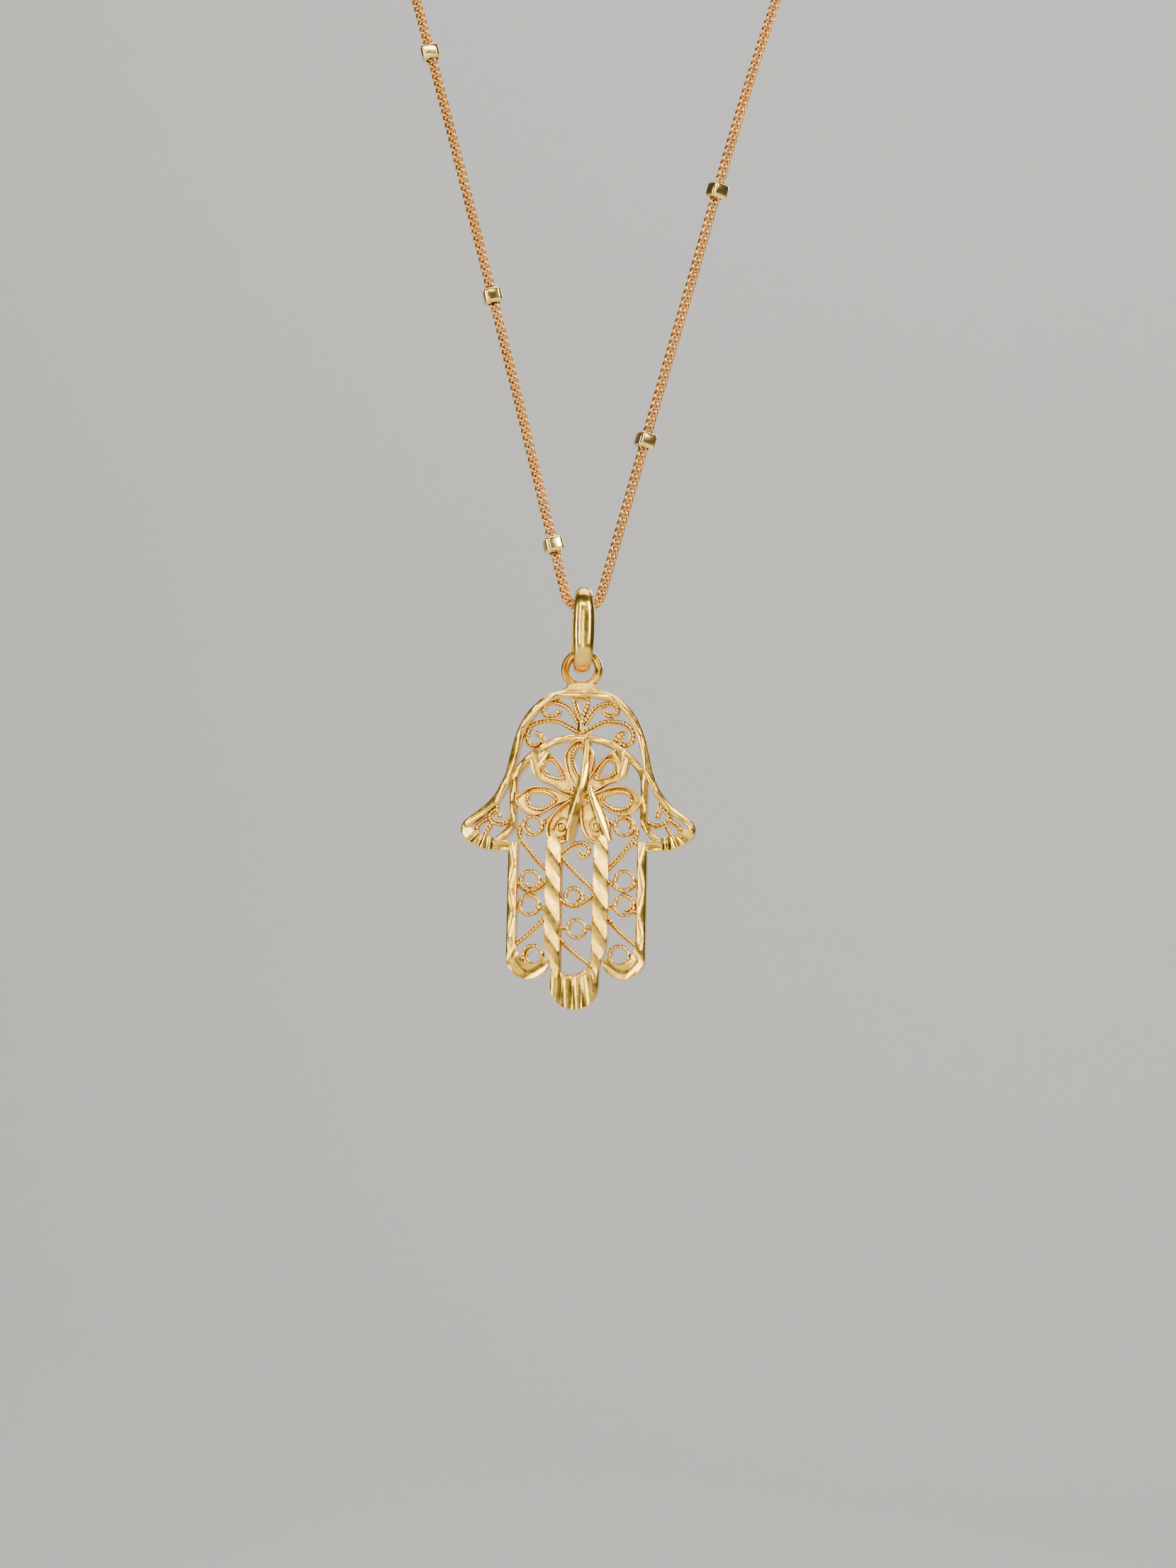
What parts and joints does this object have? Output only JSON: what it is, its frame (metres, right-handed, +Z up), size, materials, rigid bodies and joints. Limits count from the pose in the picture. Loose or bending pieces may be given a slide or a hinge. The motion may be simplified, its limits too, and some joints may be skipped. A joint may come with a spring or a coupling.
{
  "type": "hamsa pendant on a beaded chain",
  "caption": "Pierced gold hand with a filigree flower and curled thumbs, hung by an oval bail on a fine beaded chain.",
  "frame": {"origin": "middle of the neck that wears it, level with the hollow of the throat", "axes": "+Z up along the neck, -Y out of the chest towards the viewer, +X to the viewer's right"},
  "size_m": [0.1092, 0.1037, 0.1802],
  "materials": {
    "hand_gold": "cast yellow gold with diamond-cut facets",
    "bail_gold": "polished yellow gold",
    "chain_gold": "polished rose-tinted gold links",
    "bead_gold": "polished gold with cut edges"
  },
  "bodies": {
    "necklace": {"chain": "chain_gold", "clasp": "bail_gold", "bead_01": "bead_gold", "bead_02": "bead_gold", "bead_03": "bead_gold", "bead_04": "bead_gold", "bead_05": "bead_gold", "bead_06": "bead_gold", "bead_07": "bead_gold", "bead_08": "bead_gold", "bead_09": "bead_gold", "bead_10": "bead_gold", "bead_11": "bead_gold", "bead_12": "bead_gold", "bead_13": "bead_gold", "bead_14": "bead_gold", "bead_15": "bead_gold", "bead_16": "bead_gold", "bead_17": "bead_gold", "bead_18": "bead_gold", "bead_19": "bead_gold", "bead_20": "bead_gold"},
    "bail": {"bail": "bail_gold"},
    "hamsa": {"hamsa": "hand_gold"}
  },
  "joints": [
    {"name": "bail_swing", "type": "hinge", "parent": "necklace", "child": "bail", "pos_m": [0, -0.05, -0.11], "axis": [1, 0, 0], "range_deg": [-45, 45]},
    {"name": "hamsa_swing", "type": "hinge", "parent": "bail", "child": "hamsa", "pos_m": [0, -0.05, -0.11578], "axis": [0, 1, 0], "range_deg": [-35, 35]}
  ]
}
